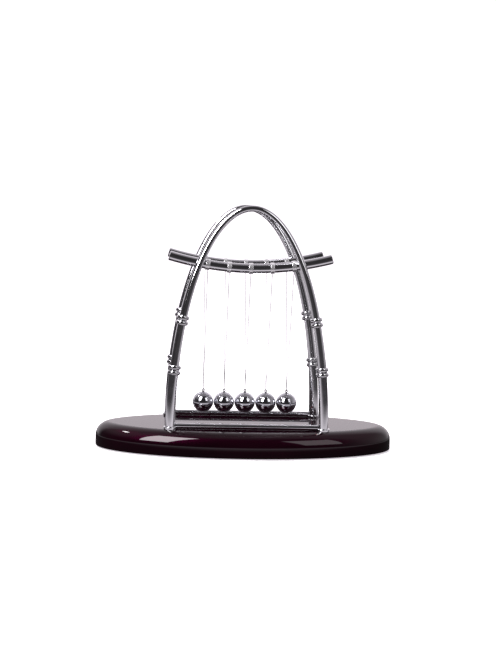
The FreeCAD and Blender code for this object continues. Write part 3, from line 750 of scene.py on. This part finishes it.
# %% Balls and eyes
STEM_RADIUS, STEM_DEPTH = 0.8 * MM, 4.0 * MM
EYE_LIFT, EYE_RADIUS, EYE_WIRE = 1.25 * MM, 0.85 * MM, 0.375 * MM
COUNTERSINK, NECK_ROUND = 1.05 * MM, 0.25 * MM
STEM_GAP, DRILL_GAP = 0.02 * MM, 0.05 * MM


def ball_section():
    """From the bottom pole up to the countersink, then down into the stem's hole."""
    top = 90 - math.degrees(math.asin(COUNTERSINK / BALL_RADIUS))
    section = [(0.0, -BALL_RADIUS)] + arc((0, 0), BALL_RADIUS, -90, top, 72)[1:]
    mouth = section[-1][1] - (COUNTERSINK - STEM_RADIUS) - STEM_GAP
    hole, bottom = STEM_RADIUS + STEM_GAP, BALL_RADIUS - STEM_DEPTH - DRILL_GAP
    return section + [(hole, mouth), (hole, bottom), (0.0, bottom)]


def eye_mesh():
    """A stem with a rounded neck, joined to a ring of wire that faces front to back."""
    neck = EYE_LIFT - EYE_RADIUS
    stem = [(0.0, -STEM_DEPTH), (STEM_RADIUS, -STEM_DEPTH), (STEM_RADIUS, neck - NECK_ROUND)]
    stem += arc((STEM_RADIUS - NECK_ROUND, neck - NECK_ROUND), NECK_ROUND, 0, 90, 6)[1:]
    stem += [(0.0, neck)]
    wire_section = [(EYE_RADIUS + x, z) for x, z in arc((0, 0), EYE_WIRE, 0, 345, 23)]
    wire = turned("wire", wire_section, 48, closed=True)
    upright = Matrix.Rotation(math.radians(90), 4, "X")
    wire.transform(Matrix.Translation((0, 0, EYE_LIFT)) @ upright)
    both = bmesh.new()
    both.from_mesh(turned("stem", stem, 40))
    both.from_mesh(wire)
    mesh = bpy.data.meshes.new("eye")
    both.to_mesh(mesh)
    both.free()
    return mesh


for k in BALLS:
    x = joints[f"ball_{k}_swing"]["pos_m"][0]
    ball_mesh = turned("ball", ball_section(), 120)
    ball_mesh.transform(Matrix.Translation((x, 0, BALL_HEIGHT)))
    ball = keep(f"steel_ball_{k}", ball_mesh, ball_steel)
    eye = eye_mesh()
    eye.transform(Matrix.Translation((x, 0, BALL_HEIGHT + BALL_RADIUS)))
    eye = keep(f"wire_eye_{k}", eye, eye_steel)
    for piece, node, slot in ((ball, f"ball_{k}", "ball_chrome"),
                              (eye, f"ball_{k}_eye", "eye_steel")):
        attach(piece, f"pendulum_{k}")
        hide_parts(node)
print("balls:", len(eye.data.polygons), "faces on an eye,", len(ball.data.polygons), "on a ball")

# %% [markdown]
# ## The strings
#
# Each ball hangs on one thin nylon line that runs down from the front band, under the
# eye's wire, and up to the rear band. The weight of the ball keeps both runs straight,
# so the line is two straight runs joined by a small arc that touches both. The tree
# takes the middle fifth of its points for the arc and lays the rest along the runs.

# %% Strings
string_tree, given, result = open_group(
    "Hanging string", "GeometryNodeTree",
    [("Place", FLOAT, 0.0), ("Eye Height", FLOAT, 0.045), ("Slope", FLOAT, 1.2),
     ("Run", FLOAT, 0.09), ("Turn", FLOAT, 0.0007), ("Radius", FLOAT, 0.00025),
     ("Points", WHOLE, 61), ("Finish", MATERIAL, None)],
    [("Geometry", GEOMETRY)])
ARC_SHARE = 0.2
across = calc(string_tree, "MULTIPLY_ADD", share_of(string_tree, given["Points"]), 2.0, -1.0)
side = calc(string_tree, "SIGN", across)
far = calc(string_tree, "ABSOLUTE", across)
turned_by = calc(string_tree, "MULTIPLY", given["Slope"], calc(
    string_tree, "MINIMUM", calc(string_tree, "DIVIDE", far, ARC_SHARE), 1.0))
gone = calc(string_tree, "MAXIMUM", calc(string_tree, "DIVIDE", calc(
    string_tree, "SUBTRACT", far, ARC_SHARE), 1.0 - ARC_SHARE), 0.0)
distance = calc(string_tree, "MULTIPLY", gone, given["Run"])
run_out = calc(string_tree, "MULTIPLY", distance, calc(string_tree, "COSINE", given["Slope"]))
run_up = calc(string_tree, "MULTIPLY", distance, calc(string_tree, "SINE", given["Slope"]))
turn_out = calc(string_tree, "MULTIPLY", given["Turn"], calc(string_tree, "SINE", turned_by))
turn_down = calc(string_tree, "MULTIPLY", given["Turn"], calc(string_tree, "COSINE", turned_by))
out = calc(string_tree, "ADD", turn_out, run_out)
up = calc(string_tree, "SUBTRACT", run_up, turn_down)
place = spot_at(string_tree, given["Place"], calc(string_tree, "MULTIPLY", side, out),
                calc(string_tree, "ADD", up, given["Eye Height"]))
STRING_SIDES, STRING_POINTS = 20, 61
close_tree(string_tree, rod_along(string_tree, given["Points"], place, given["Radius"],
                                  STRING_SIDES), given["Finish"], result)

STRING_TURN, STRING_RADIUS, STRING_TAIL = 0.675 * MM, 0.25 * MM, 0.18 * MM
ALL_SMOOTH = 60.0
eye_height = BALL_HEIGHT + BALL_RADIUS + EYE_LIFT + EYE_RADIUS
for k in BALLS:
    x, _, top = joints[f"ball_{k}_swing"]["pos_m"]
    span = math.hypot(RAIL_ROW, top - eye_height)
    slope = math.atan2(top - eye_height, RAIL_ROW) + math.asin(STRING_TURN / span)
    run = math.sqrt(span ** 2 - STRING_TURN ** 2) + STRING_TAIL
    string = grow(f"nylon_line_{k}", string_tree, ALL_SMOOTH, place=x, eye_height=eye_height,
                  slope=slope, run=run, turn=STRING_TURN, radius=STRING_RADIUS,
                  points=STRING_POINTS, finish=nylon)
    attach(string, f"pendulum_{k}")
    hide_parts(f"string_{k}")

# %% [markdown]
# ## Hidden hardware
#
# The pads, screws, washers and pins are right as the CAD model has them. They keep
# their shapes and only get a finished surface.

# %% Hidden hardware
for name, node in frame["nodes"].items():
    if name.endswith("_pad"):
        hidden_finish = pad_rubber
    elif name in ("leg_screws", "leg_washers", "rail_pins"):
        hidden_finish = screw_zinc
    else:
        continue
    node.data.materials.clear()
    node.data.materials.append(hidden_finish)
print("dressed the hidden hardware")

# %% [markdown]
# ## The studio
#
# Chrome shows its surroundings and nothing else, so the studio matters as much as the
# metal. The object stands on a white table in a dark room, in front of a white
# backdrop, with two tall soft boxes in front. The room is written as a formula of
# direction: bright behind, almost black in front, and a soft grey above and to the
# right. All angles are in degrees. The camera itself sees plain white.

# %% Room
world = bpy.data.worlds.new("studio")
bpy.context.scene.world = world
world.use_nodes = True
room = world.node_tree
room.nodes.clear()
direction = add(room, "ShaderNodeTexCoord").outputs["Generated"]
split = add(room, "ShaderNodeSeparateXYZ", {0: direction}).outputs
DEGREES = 180 / math.pi
PALE_LIGHT, WHITE_PAPER = (1.0, 0.94, 1.0, 1.0), 1.3
towards_front = calc(room, "MULTIPLY", split["Y"], -1.0)
bearing = calc(room, "MULTIPLY", calc(room, "ARCTAN2", split["X"], towards_front), DEGREES)
height = calc(room, "MULTIPLY", calc(room, "ARCSINE", split["Z"]), DEGREES)
turned_away = calc(room, "ABSOLUTE", bearing)
FRONT, LEFT, RIGHT, ASIDE, BEHIND, OVERHEAD = 0.03, 0.08, 0.50, 0.32, 1.03, 0.32
left_side = ramp(room, turned_away, 60.0, 115.0, FRONT, LEFT)
right_side = ramp(room, turned_away, 32.0, 105.0, FRONT, RIGHT)
level = ramp(room, bearing, -20.0, 20.0, left_side, right_side)
raised = ramp(room, turned_away, 48.0, 78.0, FRONT, ASIDE)
around = ramp(room, height, 14.0, 44.0, level, raised)
ahead = ramp(room, height, 56.0, 90.0, around, OVERHEAD)
backdrop = ramp(room, height, 25.0, 80.0, BEHIND, OVERHEAD)
light = blend_values(room, ramp(room, turned_away, 114.0, 140.0), ahead, backdrop)
to_camera = add(room, "ShaderNodeLightPath").outputs["Is Camera Ray"]
background = add(room, "ShaderNodeBackground", {
    "Color": PALE_LIGHT, "Strength": blend_values(room, to_camera, light, WHITE_PAPER)})
room.links.new(background.outputs[0], add(room, "ShaderNodeOutputWorld").inputs["Surface"])
print("room: front", FRONT, "behind", BEHIND)

# %% [markdown]
# ### The table
#
# The table is a wide white disc. On a real one the lamps leave a bright pool in front
# of the object, and chrome and lacquer mirror that pool in their lower halves. So the
# disc also glows, and that glow is painted light: reflections see a painted pool, strong
# close by and fading with distance, with a painted shadow under the board, round it and
# in a strip behind it. The camera sees white paper: a glow painted dimmer near the
# middle and brighter far out, plus the paper lit by the lamps with its real soft shade.

# %% Table
TABLE_RINGS = (0.2, 0.6, 2.5)
rim_turns = [math.tau * i / 96 for i in range(96)]
table_mesh = mesh_of_rings("table", [[(0.0, 0.0, 0.0)]] + [
    [(r * math.cos(a), r * math.sin(a), 0.0) for a in rim_turns] for r in TABLE_RINGS])
table_top = keep("table_top", table_mesh)
table_finish = bpy.data.materials.new("table_paper")
table_finish.use_nodes = True
paper = table_finish.node_tree
paper_shader = paper.nodes["Principled BSDF"]
paper_shader.inputs["Base Color"].default_value = (0.90, 0.895, 0.90, 1)
paper_shader.inputs["Roughness"].default_value = 0.9
paper_shader.inputs["Specular IOR Level"].default_value = 0.0
paper_place = add(paper, "ShaderNodeTexCoord").outputs["Object"]
paper_spot = add(paper, "ShaderNodeSeparateXYZ", {0: paper_place}).outputs


def squared(value, size=1.0):
    """The square of a length measured in the given size."""
    share = calc(paper, "DIVIDE", value, size)
    return calc(paper, "MULTIPLY", share, share)


def length_of(first, second):
    """The root of two squares added."""
    return calc(paper, "SQRT", calc(paper, "ADD", first, second))


x, y = paper_spot["X"], paper_spot["Y"]
POOL_STRETCH = 1.4
in_front = calc(paper, "MAXIMUM", calc(paper, "MULTIPLY", y, -1.0), 0.0)
away = length_of(squared(x, POOL_STRETCH), squared(in_front))
past_edge = length_of(squared(x, HALF_LENGTH), squared(in_front, HALF_DEPTH))
# Painted light seen only in reflections: a pool fading with distance, times painted shadow within
# one and a half times the board's outline and in a strip behind it.
pool = calc(paper, "MULTIPLY", ramp(paper, away, 0.11, 0.34, 0.80, 0.05),
            ramp(paper, past_edge, 1.5, 2.2, 0.08, 1.0))
paths = add(paper, "ShaderNodeLightPath").outputs
from_middle = length_of(squared(x), squared(y))
# Painted shade for the camera: the paper's glow is dimmer near the middle and rises to full white
# far out.
floor_light = ramp(paper, from_middle, 0.10, 0.45, 0.60, WHITE_PAPER)
seen_by = blend_values(paper, paths["Is Camera Ray"], pool, floor_light)
glow = add(paper, "ShaderNodeEmission", {"Color": PALE_LIGHT, "Strength": seen_by})
lit = add(paper, "ShaderNodeAddShader", {0: glow.outputs[0], 1: paper_shader.outputs[0]})
mirrored = add(paper, "ShaderNodeMixShader", {
    "Fac": paths["Is Camera Ray"], 1: glow.outputs[0], 2: lit.outputs[0]})
paper.links.new(mirrored.outputs[0], paper.nodes["Material Output"].inputs["Surface"])
table_top.data.materials.append(table_finish)
print("table:", len(table_mesh.polygons), "faces, pool stretched", POOL_STRETCH, "times")


# %% [markdown]
# ### The lamps
#
# Each lamp is an area light, which metal mirrors as a bright rectangle. The tall box
# at the left is the main one, and the box at the right is much weaker. A small lamp
# makes the spark on the board's left shoulder. The fill from above only lightens the
# paper, so it is left out of reflections.

# %% Lamps
MIDDLE = (0, 0, 0.05)


def lamp(name, bearing, height, distance, width, tall, radiance, reflected=True, aim=MIDDLE):
    """A soft box at a bearing and height in degrees, with the given radiance."""
    a, e = math.radians(bearing), math.radians(height)
    data = bpy.data.lights.new(name, "AREA")
    data.shape, data.size, data.size_y = "RECTANGLE", width, tall
    data.energy = radiance * width * tall * math.pi
    data.color = (1.0, 0.985, 1.0)
    holder = bpy.data.objects.new(name, data)
    back = Vector((math.sin(a) * math.cos(e), -math.cos(a) * math.cos(e), math.sin(e)))
    holder.location = Vector(aim) + distance * back
    holder.rotation_euler = back.to_track_quat("Z", "Y").to_euler()
    holder.visible_glossy = reflected
    bpy.context.scene.collection.objects.link(holder)
    print(f"{name}: {data.energy:.2f} W")


lamp("left_box", -42.5, 38, 0.75, 0.26, 0.58, 12.0)
lamp("right_box", 40, 32, 0.85, 0.33, 0.52, 1.7)
lamp("small_lamp", -100, 55, 0.80, 0.10, 0.06, 26.0, aim=(-0.093, -0.031, 0.015))
lamp("overhead_fill", 180, 80, 0.90, 0.9, 0.9, 2.6, reflected=False)

# %% [markdown]
# ## The camera
#
# The camera stands about a metre off, a little to the left of the middle and just
# above the arches, and looks down by six degrees. It is rolled by a degree and a
# half. A lens of 70 mm keeps the perspective calm.

# %% Camera
SENSOR, LENS, NEAR, FAR = 36.0, 70.097, 0.05, 20.0
DISTANCE, ORBIT, EYE_LEVEL = 0.995, math.radians(-4.12), 0.19505
HEADING, PITCH, ROLL = math.radians(4.183), math.radians(5.998), math.radians(1.61)
camera_data = bpy.data.cameras.new("camera")
camera_data.sensor_width, camera_data.lens = SENSOR, LENS
camera_data.clip_start, camera_data.clip_end = NEAR, FAR
camera = bpy.data.objects.new("camera", camera_data)
camera.location = (DISTANCE * math.sin(ORBIT), -DISTANCE * math.cos(ORBIT), EYE_LEVEL)
forward = Vector((math.sin(HEADING) * math.cos(PITCH), math.cos(HEADING) * math.cos(PITCH),
                  -math.sin(PITCH)))
level_right = Vector((math.cos(HEADING), -math.sin(HEADING), 0))
level_up = level_right.cross(forward)
right = level_right * math.cos(ROLL) + level_up * math.sin(ROLL)
up = level_up * math.cos(ROLL) - level_right * math.sin(ROLL)
turned_to = Matrix((right, up, -forward)).transposed().to_4x4()
camera.matrix_world = Matrix.Translation(camera.location) @ turned_to
bpy.context.scene.collection.objects.link(camera)
bpy.context.scene.camera = camera
bpy.context.scene.view_settings.view_transform = "Standard"
print(f"camera lens {camera_data.lens:.1f} mm")
